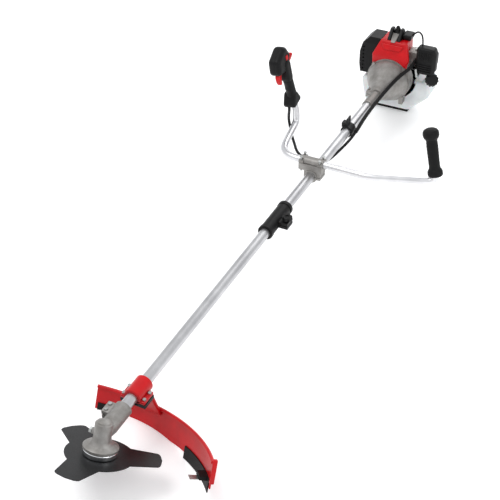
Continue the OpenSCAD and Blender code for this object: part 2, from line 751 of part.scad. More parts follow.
module muffler_guard() placed() color("black") difference() {
    guard_shell(0);
    guard_shell(2.5);
    block(-48, -40, 1620, 1700, 0, 104);
    along_tube(1680) cylinder(r = 69, h = 20);
    for (z = [4 : 12 : 88], y = [1636 : 12 : 1684]) translate([-120, y, z]) rotate([0, 90, 0])
        cylinder(r = 3, h = 26);
    for (z = [4 : 12 : 76]) translate([-96, 1620, z]) rotate([-90, 0, 0]) cylinder(r = 3, h = 12);
}

module carburettor() placed() color("silver") difference() {
    union() {
        block(44, 52, cylinder_l - 18, cylinder_l + 18, 52, 86);
        block(52, 76, cylinder_l - 20, cylinder_l + 18, 50, 88);
        block(62, 74, 1630, 1634, 60, 74);
    }
    translate([40, cylinder_l, 69]) rotate([0, 90, 0]) cylinder(r = 8, h = 40);
    translate([64, cylinder_l, 45]) cylinder(r = 2.05, h = 50);
}

module carburettor_lever() placed() color("dimgray") {
    translate([64, cylinder_l, 51]) cylinder(r = 2, h = 42);
    translate([64, cylinder_l, 89]) block(-4, 4, -4, 15, 0, 2.5);
}

module filter_shell(grow) {
    hull() {
        block(76 + grow, 134 - grow, 1604 + grow, 1636 - grow, 44 + grow, 122 - grow);
        block(76 + grow, 138 - grow, 1608 + grow, 1634 - grow, 56, 112);
        block(76 + grow, 132 - grow, 1604 + grow, 1664 - grow, 52 + grow, 92 - grow);
    }
}

module air_filter() placed() color("black") {
    difference() {
        filter_shell(0);
        filter_shell(2.5);
        translate([70, cylinder_l, 69]) rotate([0, 90, 0]) cylinder(r = 8, h = 10);
    }
    for (i = [0 : 3]) block(88, 128, 1601, 1606, 50 + i * 7, 53 + i * 7);
    translate([136.5, 1621, 64]) rotate([0, 90, 0]) cylinder(r = 6, h = 3);
}

module choke_lever() placed() color("silver") {
    translate([82, 1600, 50]) rotate([-90, 0, 0]) cylinder(r = 3, h = 3.7);
    translate([82, 1598.5, 50]) rotate([0, 170, 0]) block(-3, 3, -1, 1.6, -3, 24);
}

// Tank outline seen along the tube: it wraps the underside of the crankcase
module tank_outline(grow) {
    hull() for (q = [[-66, -88, 22], [50, -88, 22], [98, -42, 22], [104, -14, 14], [-84, -36, 14]])
        translate([q[0], q[1]]) circle(r = q[2] - grow, $fn = 32);
}

module tank_solid(grow) {
    translate([0, tank_back - grow, 0]) rotate([90, 0, 0])
        linear_extrude(height = tank_back - tank_front - 2 * grow) tank_outline(grow);
}

module tank_recess(grow) {
    block(-62 - grow, 62 + grow, tank_front - 10, tank_back + 10, -82 - grow, 60);
}

module at_cap() {
    translate(cap_at) rotate(cap_lean) children();
}

module fuel_tank() placed() color("whitesmoke") difference() {
    union() {
        difference() {
            tank_solid(0);
            tank_recess(0);
        }
        at_cap() translate([0, 0, -26]) cylinder(r = 15, h = 27);
    }
    difference() {
        tank_solid(2.5);
        tank_recess(2.5);
    }
    at_cap() translate([0, 0, -30]) cylinder(r = 12, h = 40);
}

module fuel_cap() placed() color("black") at_cap() difference() {
    union() {
        translate([0, 0, 1.4]) cylinder(r = 18, h = 13);
        for (a = [0 : 30 : 330]) rotate(a) translate([17.5, 0, 1.4]) cylinder(r = 2.5, h = 13);
        translate([0, 0, -8]) cylinder(r = 11.7, h = 12);
    }
    translate([0, 0, -9]) cylinder(r = 9, h = 8);
}

module engine_stand() placed() color("dimgray") {
    block(-62, 50, 1652, 1704, floor_z, floor_z + 3);
    for (x = [-62, -24, 10, 46]) block(x, x + 4, 1652, 1704, floor_z, -110);
}

module starter_housing() placed() color("dimgray") difference() {
    union() {
        along_tube(1684) cylinder(r = 60, h = 30);
        along_tube(1714) cylinder(r1 = 60, r2 = 48, h = 8);
        block(-16, 16, 1690, 1714, 50, 70);
        for (a = [30, 150, 210, 330]) along_tube(1684) rotate(a) translate([62, 0, 0])
            cylinder(r = 6, h = 10);
    }
    along_tube(1683.9) cylinder(r = 54, h = 28);
    along_tube(1711) cylinder(r = 8, h = 20);
    for (a = [0 : 20 : 340]) along_tube(1708) rotate(a) block(20, 44, -2, 2, 0, 20);
    translate([0, 1702, 48]) cylinder(r = 3, h = 30);
}

module starter_rope() placed() color("white") {
    translate([0, 1702, 46]) cylinder(r = 1.5, h = 28.3);
}

module starter_handle() placed() color("black") translate([0, 1702, 74.3]) {
    rotate([0, 90, 0]) translate([-9, 0, -30]) cylinder(r = 8.5, h = 60);
    cylinder(r = 6, h = 6);
}

lower_tube();
lower_drive_shaft();
lower_bushes();
gearbox_case();
gearbox_bearings();
pinion();
bevel_gear();
spindle();
gearbox_bolts();
upper_flange();
blade();
lower_flange();
blade_nut();
guard_shield();
guard_clamp();
guard_bolts();
guard_skirt();
line_cutter();
upper_tube();
upper_drive_shaft();
upper_bushes();
coupler_body();
coupler_knob();
handlebar_mount();
handlebar_cap();
handlebar_bolts();
handlebar();
right_grip();
throttle_shell_left();
throttle_shell_right();
throttle_trigger();
throttle_lockout();
stop_switch();
throttle_cable();
cable_loom();
harness_hanger();
clutch_housing();
clutch_drum();
clutch_shoes();
flywheel();
crankshaft();
connecting_rod();
piston();
crankcase();
cylinder_head();
spark_plug();
plug_cover();
top_cover();
muffler();
muffler_guard();
carburettor();
carburettor_lever();
air_filter();
choke_lever();
fuel_tank();
fuel_cap();
engine_stand();
starter_housing();
starter_rope();
starter_handle();
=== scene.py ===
"""Brush cutter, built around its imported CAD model.

Units are metres. +Y runs along the drive tube from the blade to the engine, +X is the
operator's left and +Z is up. Design lengths are written in millimetres from the gear apex,
the point where the tube's axis meets the blade's axis, and at() brings them into the scene.
"""

# %% [markdown]
# ## The frame
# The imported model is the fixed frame. Its nodes hold every real size, so this script asks them
# where things are. New surfaces either replace a node or ride beside it on the same body.

import json

import bmesh
import bpy
import numpy as np
from mathutils import Matrix, Vector


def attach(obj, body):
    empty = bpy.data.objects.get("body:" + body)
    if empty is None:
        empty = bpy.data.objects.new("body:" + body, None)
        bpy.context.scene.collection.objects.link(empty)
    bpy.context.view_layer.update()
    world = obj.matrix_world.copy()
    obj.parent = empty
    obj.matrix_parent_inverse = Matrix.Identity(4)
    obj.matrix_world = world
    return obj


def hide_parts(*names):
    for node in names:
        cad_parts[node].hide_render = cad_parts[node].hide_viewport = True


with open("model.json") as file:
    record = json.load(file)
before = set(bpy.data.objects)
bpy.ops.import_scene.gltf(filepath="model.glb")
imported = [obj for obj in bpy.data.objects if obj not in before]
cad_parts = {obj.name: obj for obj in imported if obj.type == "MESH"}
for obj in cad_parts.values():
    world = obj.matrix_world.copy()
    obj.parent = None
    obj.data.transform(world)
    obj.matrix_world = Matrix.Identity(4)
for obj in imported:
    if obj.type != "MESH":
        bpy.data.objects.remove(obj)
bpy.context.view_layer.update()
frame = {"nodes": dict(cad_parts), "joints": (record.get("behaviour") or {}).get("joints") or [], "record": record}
record = frame["record"]
joints = {joint["name"]: joint for joint in frame["joints"]}
body_of = {node: body for body, nodes in record["behaviour"]["bodies"].items() for node in nodes}
slot_of = {part["node"]: part["material_slot"] for part in record["subparts"]}

# %% Millimetres from the gear apex become metres in the scene
MM = 0.001
GEAR_APEX = np.array(joints["blade_spin"]["pos_m"])


def at(points_mm):
    """Scene point = gear apex + design point / 1000."""
    return GEAR_APEX + np.asarray(points_mm, float) * MM


print("gear apex", GEAR_APEX)

# %% [markdown]
# ## Camera, floor and light
# A studio shot: a nearly white floor with no horizon, one large soft key from the upper left,
# a broad fill from the right and a rim from behind. The lens is long, so the tube keeps its
# straight, slightly tapering look.

# %% Camera
scene = bpy.context.scene
scene.view_settings.view_transform = "Standard"
CAMERA_PLACE_MM = (943.5, -1190.0, 1622.4)
CAMERA_RIGHT = np.array((0.8945, 0.4469, -0.0111))
CAMERA_UP = np.array((-0.2670, 0.5540, 0.7886))
LENS_MM = 78.31

camera_data = bpy.data.cameras.new("studio_camera")
camera_data.lens = LENS_MM
camera_data.sensor_width = 36.0
camera = bpy.data.objects.new("studio_camera", camera_data)
scene.collection.objects.link(camera)
back = np.cross(CAMERA_RIGHT, CAMERA_UP)
turn = Matrix(np.column_stack((CAMERA_RIGHT, CAMERA_UP, back)).tolist()).to_quaternion()
camera.rotation_mode = "QUATERNION"
camera.rotation_quaternion = turn
camera.location = at(CAMERA_PLACE_MM)
scene.camera = camera
print("camera at", tuple(camera.location))

# %% Lights: an even white room and three soft panels
world = bpy.data.worlds.new("white_room")
world.use_nodes = True
world.node_tree.nodes["Background"].inputs["Color"].default_value = (0.97, 0.98, 1.0, 1)
world.node_tree.nodes["Background"].inputs["Strength"].default_value = 0.85
scene.world = world

PANELS = (
    ("key_panel", (-900, 200, 2400), 1.6, 26),
    ("fill_panel", (2000, 300, 1500), 1.4, 10),
    ("rim_panel", (0, 3200, 1400), 1.8, 14),
)
for name, place_mm, size, power in PANELS:
    data = bpy.data.lights.new(name, "AREA")
    data.shape = "DISK"
    data.size = size
    data.energy = power
    lamp = bpy.data.objects.new(name, data)
    scene.collection.objects.link(lamp)
    lamp.location = at(place_mm)
    aim = Vector((0.0, -0.7, 0.15))
    lamp.rotation_mode = "QUATERNION"
    lamp.rotation_quaternion = (aim - lamp.location).to_track_quat("-Z", "Y")
print("panels", [panel[0] for panel in PANELS])

# %% [markdown]
# ## Helpers for materials
# A material's colours are written as sRGB hex, the way a paint chart gives them. Blender's
# shaders want linear light, so one function turns hex to linear. One more adds a node.


# %% Colour and node helpers
def linear(hex_colour):
    """sRGB hex to linear RGBA: below 0.04045 divide by 12.92, above it ((c+0.055)/1.055)^2.4."""
    channels = np.array([int(hex_colour[i : i + 2], 16) for i in (1, 3, 5)]) / 255
    low, high = channels / 12.92, ((channels + 0.055) / 1.055) ** 2.4
    return (*np.where(channels <= 0.04045, low, high), 1.0)


def add(tree, kind, inputs=None, **settings):
    """Adds one node, sets its settings, then fills or links its input sockets."""
    node = tree.nodes.new(kind)
    for name, value in settings.items():
        setattr(node, name, value)
    for name, value in (inputs or {}).items():
        if isinstance(value, bpy.types.NodeSocket):
            tree.links.new(value, node.inputs[name])
        else:
            node.inputs[name].default_value = value
    return node


def new_material(name):
    """An empty material with its output node; returns the material, its tree and the output."""
    material = bpy.data.materials.new(name)
    material.use_nodes = True
    tree = material.node_tree
    tree.nodes.clear()
    return material, tree, add(tree, "ShaderNodeOutputMaterial")


def per_metre(size_mm):
    """Noise scale whose features are about this many millimetres across."""
    return 1000.0 / size_mm


# %% [markdown]
# ## Surfaces with a grain
# Most finishes here are one base with three things laid on it: slow patches of colour, a
# roughness that wanders a little, and a fine relief. The relief is noise in Object coordinates,
# so it keeps its real size in millimetres on every piece. A stretched noise gives drawn or
# brushed metal its long streaks.


# %% One surface recipe
def surface_finish(name, light, dark, patch_mm, grain_mm, relief_mm, rough, stretch=(1, 1, 1),
                   patch_share=0.5, **shader):
    """Colour = mix(dark, light) by slow noise; roughness = rough range by noise; bump = grain."""
    material, tree, output = new_material(name)
    place = add(tree, "ShaderNodeTexCoord")
    streak = add(tree, "ShaderNodeMapping", {"Vector": place.outputs["Object"], "Scale": stretch})
    patches = add(tree, "ShaderNodeTexNoise", {"Vector": place.outputs["Object"],
                  "Scale": per_metre(patch_mm), "Detail": 3.0, "Roughness": 0.55})
    grain = add(tree, "ShaderNodeTexNoise", {"Vector": streak.outputs["Vector"],
                "Scale": per_metre(grain_mm), "Detail": 4.0, "Roughness": 0.6})
    share = add(tree, "ShaderNodeMapRange", {"Value": patches.outputs["Fac"], "From Min": 0.3,
                "From Max": 0.3 + patch_share})
    colour = add(tree, "ShaderNodeMix", {"Factor": share.outputs["Result"]}, data_type="RGBA")
    colour.inputs["A"].default_value = linear(dark)
    colour.inputs["B"].default_value = linear(light)
    wander = add(tree, "ShaderNodeMapRange", {"Value": grain.outputs["Fac"], "From Min": 0.3,
                 "From Max": 0.7, "To Min": rough[0], "To Max": rough[1]})
    bump = add(tree, "ShaderNodeBump", {"Height": grain.outputs["Fac"], "Strength": 1.0,
               "Distance": relief_mm * MM})
    surface = add(tree, "ShaderNodeBsdfPrincipled", {"Base Color": colour.outputs["Result"],
                  "Roughness": wander.outputs["Result"], "Normal": bump.outputs["Normal"]})
    for socket, value in shader.items():
        surface.inputs[socket.replace("_", " ")].default_value = value
    tree.links.new(surface.outputs["BSDF"], output.inputs["Surface"])
    material.diffuse_color = linear(light)
    return material


# %% [markdown]
# ## Metals
# Anodised tube: a fine satin with streaks along the drawing direction, Y. Bent bar: the same
# alloy polished brighter. Castings: grey, matt, with a 1 mm sand grain. Steels: darker, with
# turning marks. A coated blade is nearly black, with a soft sheen and faint handling marks.

# %% Metal finishes
finishes = {}
finishes["tube_aluminium"] = surface_finish("anodised_aluminium_tube", "#CFCFD0", "#B4B4B6",
    60, 1.2, 0.012, (0.30, 0.42), (1, 0.04, 1), Metallic=1.0)
finishes["bar_aluminium"] = surface_finish("polished_aluminium_bar", "#E9E9EA", "#D4D4D6",
    45, 2.0, 0.008, (0.30, 0.40), Metallic=1.0)
finishes["cast_aluminium"] = surface_finish("sand_cast_aluminium", "#A3A19E", "#827F7B",
    22, 1.3, 0.10, (0.42, 0.60), Metallic=0.75)
finishes["machined_steel"] = surface_finish("turned_steel", "#B9BABD", "#8F9093",
    18, 0.8, 0.02, (0.22, 0.38), (0.2, 1, 0.2), Metallic=1.0)
finishes["gear_steel"] = surface_finish("hardened_gear_steel", "#77777A", "#4A4A4D",
    9, 0.8, 0.02, (0.30, 0.45), Metallic=1.0)
finishes["bolt_steel"] = surface_finish("zinc_plated_bolt", "#C9CBCC", "#989A96",
    7, 0.7, 0.02, (0.25, 0.42), Metallic=1.0)
finishes["black_steel"] = surface_finish("phosphated_black_steel", "#1C1D1F", "#0F1011",
    12, 0.9, 0.05, (0.42, 0.60), Metallic=0.0, Specular_IOR_Level=0.25)
finishes["blade_steel"] = surface_finish("black_coated_blade", "#141517", "#0A0A0B",
    35, 1.4, 0.03, (0.30, 0.46), (1, 0.15, 1), Metallic=0.0, Specular_IOR_Level=0.28)
finishes["chrome"] = surface_finish("bright_chrome", "#F4F4F5", "#D8D9DB",
    30, 2.5, 0.004, (0.06, 0.12), Metallic=1.0)
finishes["oiled_bronze"] = surface_finish("sintered_bronze", "#B08A4E", "#7E5C2C",
    6, 0.6, 0.05, (0.35, 0.5), Metallic=1.0)
finishes["lining"] = surface_finish("clutch_lining", "#5A4A40", "#33291F",
    5, 0.7, 0.15, (0.7, 0.9), Metallic=0.1)
finishes["muffler_steel"] = surface_finish("heat_stained_steel", "#8A7B6C", "#4C453F",
    16, 0.9, 0.04, (0.35, 0.6), Metallic=0.85)
print("metals", len(finishes))

# %% [markdown]
# ## Plastics, rubber and the rest
# ABS covers are moulded glossy: the tiny orange peel of about 3 mm breaks the highlight.
# The black nylon parts have a spark-eroded texture of under a millimetre. Rubber is duller
# and a little dusty. The tank is blow-moulded polythene: milky, with light inside the wall.

# %% Plastic and rubber finishes
finishes["red_plastic"] = surface_finish("red_gloss_abs", "#C80510", "#AE030C",
    40, 3.0, 0.03, (0.28, 0.40), IOR=1.50, Specular_IOR_Level=0.30)
finishes["trigger_plastic"] = surface_finish("red_satin_nylon", "#D00812", "#B4050D",
    15, 1.0, 0.03, (0.36, 0.48), IOR=1.50, Specular_IOR_Level=0.30)
finishes["black_plastic"] = surface_finish("black_textured_nylon", "#0F0F10", "#090909",
    25, 0.9, 0.06, (0.36, 0.52), IOR=1.47, Specular_IOR_Level=0.22)
finishes["black_rubber"] = surface_finish("black_moulded_rubber", "#111111", "#0A0A0A",
    14, 1.1, 0.08, (0.52, 0.70), IOR=1.47, Specular_IOR_Level=0.22)
finishes["tank_plastic"] = surface_finish("blow_moulded_polythene", "#E1E4E4", "#C6CACB",
    50, 4.0, 0.05, (0.26, 0.36), IOR=1.50, Subsurface_Weight=0.25, Subsurface_Scale=0.008)
finishes["ceramic"] = surface_finish("glazed_ceramic", "#F2F1EC", "#E3E1DA",
    12, 1.5, 0.01, (0.10, 0.18), IOR=1.55)
finishes["rope"] = surface_finish("braided_starter_cord", "#6A6A66", "#2E2E2C",
    2, 0.8, 0.25, (0.7, 0.9), (1, 1, 2.5))
print("finishes", sorted(finishes))

# %% Every CAD node takes the finish of its slot
for node, cad in frame["nodes"].items():
    cad.data.materials.clear()
    cad.data.materials.append(finishes[slot_of[node]])

# %% [markdown]
# ## Helpers for surfaces
# A surface is a grid of points P[i, j]: i steps along, j steps round. Faces join neighbours, the
# grid may close on itself, and an open end is closed by one polygon. Everything below is made
# from that: sweeps along a route, rounded hulls, and pillowed outlines.


# %% Grid to faces
def skin(grid, round_trip=True, capped=True):
    """Quads P[i,j] P[i+1,j] P[i+1,j+1] P[i,j+1]; ends closed by the first and last ring."""
    rows, count = grid.shape[:2]
    last = count if round_trip else count - 1
    i, j = np.meshgrid(np.arange(rows - 1), np.arange(last), indexing="ij")
    k = (j + 1) % count
    quads = np.stack((i * count + j, (i + 1) * count + j, (i + 1) * count + k, i * count + k), -1)
    faces = quads.reshape(-1, 4).tolist()
    if capped:
        faces.append(list(range(count)))
        faces.append(list(range(rows * count - 1, (rows - 1) * count - 1, -1)))
    return grid.reshape(-1, 3), faces


def make_piece(name, parts, node, stands_for=None, smooth_deg=35, bevel_mm=0.0, material=None):
    """One object from several skins: points stacked, faces renumbered, normals turned outwards."""
    points, faces, base = [], [], 0
    for part_points, part_faces in parts:
        points.append(part_points)
        faces += [[index + base for index in face] for face in part_faces]
        base += len(part_points)
    mesh = bpy.data.meshes.new(name)
    mesh.from_pydata(np.concatenate(points).tolist(), [], faces)
    return settle(name, mesh, node, stands_for, smooth_deg, bevel_mm, material)


def settle(name, mesh, node, stands_for=None, smooth_deg=35, bevel_mm=0.0, material=None):
    """Merges doubles, recalculates normals, shades, bevels, colours, and rides on the node's body."""
    work = bmesh.new()
    work.from_mesh(mesh)
    bmesh.ops.remove_doubles(work, verts=work.verts, dist=1e-6)
    bmesh.ops.recalc_face_normals(work, faces=work.faces)
    if bevel_mm:
        bmesh.ops.dissolve_limit(work, angle_limit=np.radians(0.6), verts=work.verts, edges=work.edges)
    work.to_mesh(mesh)
    work.free()
    mesh.materials.clear()
    mesh.materials.append(material or finishes[slot_of[node]])
    piece = bpy.data.objects.new(name, mesh)
    scene.collection.objects.link(piece)
    mesh.shade_smooth()
    mesh.set_sharp_from_angle(angle=np.radians(smooth_deg))
    if bevel_mm:
        soft = piece.modifiers.new("soft_edges", "BEVEL")
        soft.width = bevel_mm * MM
        soft.segments = 3
        soft.limit_method = "ANGLE"
        soft.angle_limit = np.radians(32)
        soft.harden_normals = True
        soft.use_clamp_overlap = True
    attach(piece, body_of[node])
    if stands_for:
        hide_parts(*stands_for)
    return piece


def print_faces(*pieces):
    """Says how many faces each finished piece has."""
    for piece in pieces:
        print(piece.name, len(piece.data.polygons), "faces")


# %% Sweeps along a route
def smooth_route(points, steps):
    """Catmull-Rom cubic between the route's points, with this many steps a span."""
    p = np.asarray(points, float)
    a, b, c, d = p[np.r_[0, 0 : len(p) - 2]], p[:-1], p[1:], p[np.r_[2 : len(p), len(p) - 1]]
    t = (np.arange(steps) / steps)[None, :, None]
    a, b, c, d = (q[:, None, :] for q in (a, b, c, d))
    curve = 0.5 * (2 * b + (c - a) * t + (2 * a - 5 * b + 4 * c - d) * t**2
                   + (3 * b - 3 * c + d - a) * t**3)
    return np.concatenate((curve.reshape(-1, 3), p[-1:]))


def frames_along(route):
    """Tangent, side and rise at each point; the side is carried on without twist."""
    tangent = np.gradient(route, axis=0)
    tangent /= np.linalg.norm(tangent, axis=1, keepdims=True)
    side = np.empty_like(tangent)
    seed = np.array((0.0, 0.0, 1.0)) if abs(tangent[0, 2]) < 0.9 else np.array((0.0, 1.0, 0.0))
    side[0] = np.cross(tangent[0], seed)
    for i in range(1, len(route)):
        side[i] = side[i - 1] - tangent[i] * (side[i - 1] @ tangent[i])
    side /= np.linalg.norm(side, axis=1, keepdims=True)
    return tangent, side, np.cross(tangent, side)


def sweep(route, radius, count=32):
    """P = route + r (cos a side + sin a rise), with r a number or one per point."""
    tangent, side, rise = frames_along(route)
    angle = np.linspace(0, 2 * np.pi, count, endpoint=False)[None, :, None]
    radius = np.broadcast_to(radius, len(route))[:, None, None]
    ring = np.cos(angle) * side[:, None] + np.sin(angle) * rise[:, None]
    return skin(route[:, None] + radius * ring)


# %% Rounded hulls, pillowed outlines and local frames
def rounded_hull(corners_mm, radius_mm):
    """Convex hull of one small ball at each corner: a solid whose every edge has that radius."""
    polar, round_about = np.meshgrid(np.linspace(0, np.pi, 9), np.linspace(0, 2 * np.pi, 17)[:-1])
    ball = np.stack((np.sin(polar) * np.cos(round_about), np.sin(polar) * np.sin(round_about),
                     np.cos(polar)), -1).reshape(-1, 3)
    points = (np.asarray(corners_mm, float)[:, None] + radius_mm * ball[None]).reshape(-1, 3)
    work = bmesh.new()
    for point in at(points):
        work.verts.new(point)
    found = bmesh.ops.convex_hull(work, input=work.verts)
    loose = {v for v in found["geom_interior"] + found["geom_unused"]
             if isinstance(v, bmesh.types.BMVert)}
    bmesh.ops.delete(work, geom=list(loose), context="VERTS")
    work.verts.index_update()
    skinned = (np.array([v.co[:] for v in work.verts]),
               [[v.index for v in face.verts] for face in work.faces])
    work.free()
    return skinned


def slab(x, y, z, inset):
    """The eight corners of a box, drawn in by the edge radius."""
    return [(a, b, c) for a in (x[0] + inset, x[1] - inset) for b in (y[0] + inset, y[1] - inset)
            for c in (z[0] + inset, z[1] - inset)]


def hull_outline(circles, count=96):
    """Outline round circles (y, z, r): the farthest support point of them all, by direction."""
    c = np.asarray(circles, float)
    angle = np.linspace(0, 2 * np.pi, 720, endpoint=False)
    way = np.stack((np.cos(angle), np.sin(angle)), -1)
    best = (c[:, :2] @ way.T + c[:, 2:3]).argmax(0)
    points = c[best, :2] + c[best, 2:3] * way
    return even(points, count)


def even(points, count):
    """The same closed outline with points at even distances."""
    loop = np.concatenate((points, points[:1]))
    length = np.r_[0, np.cumsum(np.linalg.norm(np.diff(loop, axis=0), axis=1))]
    stations = np.linspace(0, length[-1], count, endpoint=False)
    return np.stack([np.interp(stations, length, loop[:, k]) for k in (0, 1)], -1)


def pillow(outline, low, high, edge_low, edge_high, steps=6):
    """Rings of the outline from low to high; near each end they draw in by a quarter circle."""
    ahead, behind = np.roll(outline, -1, 0), np.roll(outline, 1, 0)
    run = ahead - behind
    area = np.sum(outline[:, 0] * ahead[:, 1] - outline[:, 1] * ahead[:, 0])
    inward = np.stack((-run[:, 1], run[:, 0]), -1) * np.sign(area)
    inward /= np.linalg.norm(inward, axis=1, keepdims=True) + 1e-9
    quarter = np.linspace(0, np.pi / 2, steps)
    place = np.r_[low + edge_low * (1 - np.cos(quarter)), high - edge_high * (1 - np.cos(quarter[::-1]))]
    draw = np.r_[edge_low * (1 - np.sin(quarter)), edge_high * (1 - np.sin(quarter[::-1]))]
    rings = outline[None] + inward[None] * draw[:, None, None]
    along = np.broadcast_to(place[:, None], rings.shape[:2])
    return np.concatenate((along[..., None], rings), -1)


def turn_matrix(lean_deg):
    """Ry(b) Rx(a): the lean of a grip or cap, first about X, then about Y."""
    a, b = np.radians(lean_deg)
    about_x = np.array(((1, 0, 0), (0, np.cos(a), -np.sin(a)), (0, np.sin(a), np.cos(a))))
    about_y = np.array(((np.cos(b), 0, np.sin(b)), (0, 1, 0), (-np.sin(b), 0, np.cos(b))))
    return about_y @ about_x


def local(points, foot_mm, lean_deg):
    """Points of a leaning part: foot + turn x point, brought into the scene."""
    return at(np.asarray(foot_mm) + np.asarray(points) @ turn_matrix(lean_deg).T)


# %% [markdown]
# ## Machined and cast pieces keep their CAD shape
# Real edges are never sharp: a casting has fillets, a bolt head a chamfer. Each of these nodes
# is copied, its loose triangles are merged into whole faces, and a small bevel rounds every
# edge that turns more than 32 degrees. The sizes stay those of the node.

# %% Rounded copies of the CAD nodes
EDGE_MM = {
    "gearbox_case": 0.9, "gearbox_bolts": 0.4, "upper_flange": 0.5, "lower_flange": 0.5,
    "blade": 0.35, "blade_nut": 0.5, "guard_clamp": 0.8, "guard_bolts": 0.4,
    "guard_skirt": 0.6, "line_cutter": 0.3, "coupler_body": 1.4, "coupler_knob": 0.9,
    "handlebar_mount": 1.6, "handlebar_cap": 1.2, "handlebar_bolts": 0.4, "harness_hanger": 0.8,
    "clutch_housing": 1.0, "crankcase": 1.0, "cylinder_head": 0.5, "spark_plug": 0.4,
    "muffler": 2.5, "muffler_guard": 1.2, "carburettor": 1.0, "carburettor_lever": 0.3,
    "choke_lever": 0.3, "fuel_cap": 0.8, "engine_stand": 0.8, "starter_housing": 1.2,
    "stop_switch": 0.8,
}
for node, edge in EDGE_MM.items():
    settle(node + "_rounded", frame["nodes"][node].data.copy(), node, [node], bevel_mm=edge)
print("rounded", len(EDGE_MM), "nodes")

# %% [markdown]
# ## The bent handlebar and the cables
# A bar bent on a mandrel keeps its round section through each bend, so a ring is carried along
# the route on a frame that never twists. The throttle cable leaves the grip, dips below the bar
# and joins the thicker loom under the harness hanger.

# %% Handlebar
BAR_ROUTE_MM = (
    (-140, 1185, 150), (-132, 1193, 104), (-127, 1198, 74), (-126, 1200, 56), (-125, 1196, 42),
    (-123, 1182, 35), (-118, 1150, 34), (-112, 1114, 34), (-106, 1083, 34), (-97, 1060, 34),
    (-82, 1044, 34), (-62, 1037, 34), (-36, 1035, 34), (0, 1035, 34), (60, 1035, 34),
    (120, 1034, 34), (145, 1034, 34), (170, 1038, 34), (220, 1055, 34), (270, 1072, 34),
    (296, 1081, 34), (308, 1085, 36), (315, 1087, 42), (318, 1088, 52), (302, 1096, 112),
)
BAR_RADIUS_MM = 9.5
bar = make_piece("bent_handlebar", [sweep(at(smooth_route(BAR_ROUTE_MM, 8)), BAR_RADIUS_MM * MM)],
                 "handlebar", ["handlebar"])
print_faces(bar)

# %% Cables
CABLE_ROUTE_MM = (
    (-136, 1171.5, 100), (-135.5, 1173, 91), (-138, 1178, 78), (-142, 1185, 62),
    (-144, 1190, 44), (-141, 1190, 26), (-133, 1181, 12), (-119, 1162, 6), (-102, 1138, 4),
    (-84, 1112, 4), (-66, 1096, 3), (-46, 1090, -3), (-30, 1094, -10), (-15, 1110, -18),
    (-3, 1135, -21), (4, 1165, -21), (9, 1195, -19), (16, 1225, -13), (22, 1250, -5),
    (25, 1272, 2),
)
LOOM_ROUTE_MM = (
    (25, 1272, 2), (26, 1295, 8), (25, 1330, 12), (24, 1380, 14), (25, 1430, 16), (28, 1480, 20),
    (36, 1520, 30), (48, 1555, 43), (59, 1577, 51), (67, 1594, 58), (70, 1612, 65),
    (70, 1629.6, 66),
)


def free_cable(name, route_mm, diameter_mm, node, stands_for=None):
    """A round cable along a smooth route; its length is the sum of the route's steps."""
    route = at(smooth_route(route_mm, 6))
    cable = make_piece(name, [sweep(route, diameter_mm / 2 * MM, 20)], node, stands_for)
    return cable


throttle_cable = free_cable("throttle_cable_sheath", CABLE_ROUTE_MM, 8, "throttle_cable",
                            ["throttle_cable"])
loom = free_cable("cable_loom_sleeve", LOOM_ROUTE_MM, 11, "cable_loom", ["cable_loom"])
print_faces(throttle_cable, loom)

# %% [markdown]
# ## The plain grip on the right bar
# A rubber sleeve pushed on the bar: a thick foot, a waist with shallow flutes for the fingers,
# and a mushroom end that stops the hand. Radius is a smooth profile in height times a small
# ripple round the waist.

# %% Right grip
RIGHT_FOOT_MM, RIGHT_LEAN = (318, 1088, 52), (-9, -15)
GRIP_PROFILE = np.array(((0, 0), (17.5, 0), (19, 1.5), (19.8, 5), (19.6, 12), (18, 16), (15.5, 20),
    (14.4, 26), (14.2, 40), (14.6, 60), (14.8, 80), (14.3, 94), (15.5, 99), (18.8, 103),
    (20.6, 108), (21.1, 113), (20.4, 119), (17.5, 124), (12, 127), (5, 128), (0.5, 128)))


def ribbed_grip():
    """r = profile(h) + 0.5 cos(24 a) inside the waist."""
    fine = np.interp(np.linspace(0, 1, 160), np.linspace(0, 1, len(GRIP_PROFILE)),
                     np.arange(len(GRIP_PROFILE)))
    r = np.interp(fine, np.arange(len(GRIP_PROFILE)), GRIP_PROFILE[:, 0])[:, None]
    h = np.interp(fine, np.arange(len(GRIP_PROFILE)), GRIP_PROFILE[:, 1])[:, None]
    angle = np.linspace(0, 2 * np.pi, 96, endpoint=False)[None]
    waist = np.clip((h - 24) / 8, 0, 1) * np.clip((96 - h) / 8, 0, 1)
    r = r + 0.45 * waist * np.cos(24 * angle) * np.cos(h * 0.35) ** 2
    points = np.stack((r * np.cos(angle), r * np.sin(angle), h + 0 * angle), -1)
    return skin(local(points, RIGHT_FOOT_MM, RIGHT_LEAN))


right_grip = make_piece("ribbed_rubber_grip", [ribbed_grip()], "right_grip", ["right_grip"])
print_faces(right_grip)

# %% [markdown]
# ## The throttle grip
# Two nylon shells meet on a seam. Each shell is a head, a finger column and a foot. The head and
# the foot are outlines of circles seen from the side, pillowed across the width; the column is
# a half ring whose radius waves along its height for the fingers.

# %% Throttle shells
THROTTLE_FOOT_MM, THROTTLE_LEAN = (-129, 1196, 88), (10, -10)
HEAD_CIRCLES = ((-31, 137, 12), (-22, 157, 16), (11, 168, 16), (20, 153, 14), (2, 131, 14))
NECK_CIRCLES = ((0, 98, 13.9), (4, 136, 14.5))
FOOT_CIRCLES = ((-17, 18, 8.5), (12, 20, 8.5), (0, 34, 13.4))
SEAM_X, SEAM_MM = -6.0, 0.05


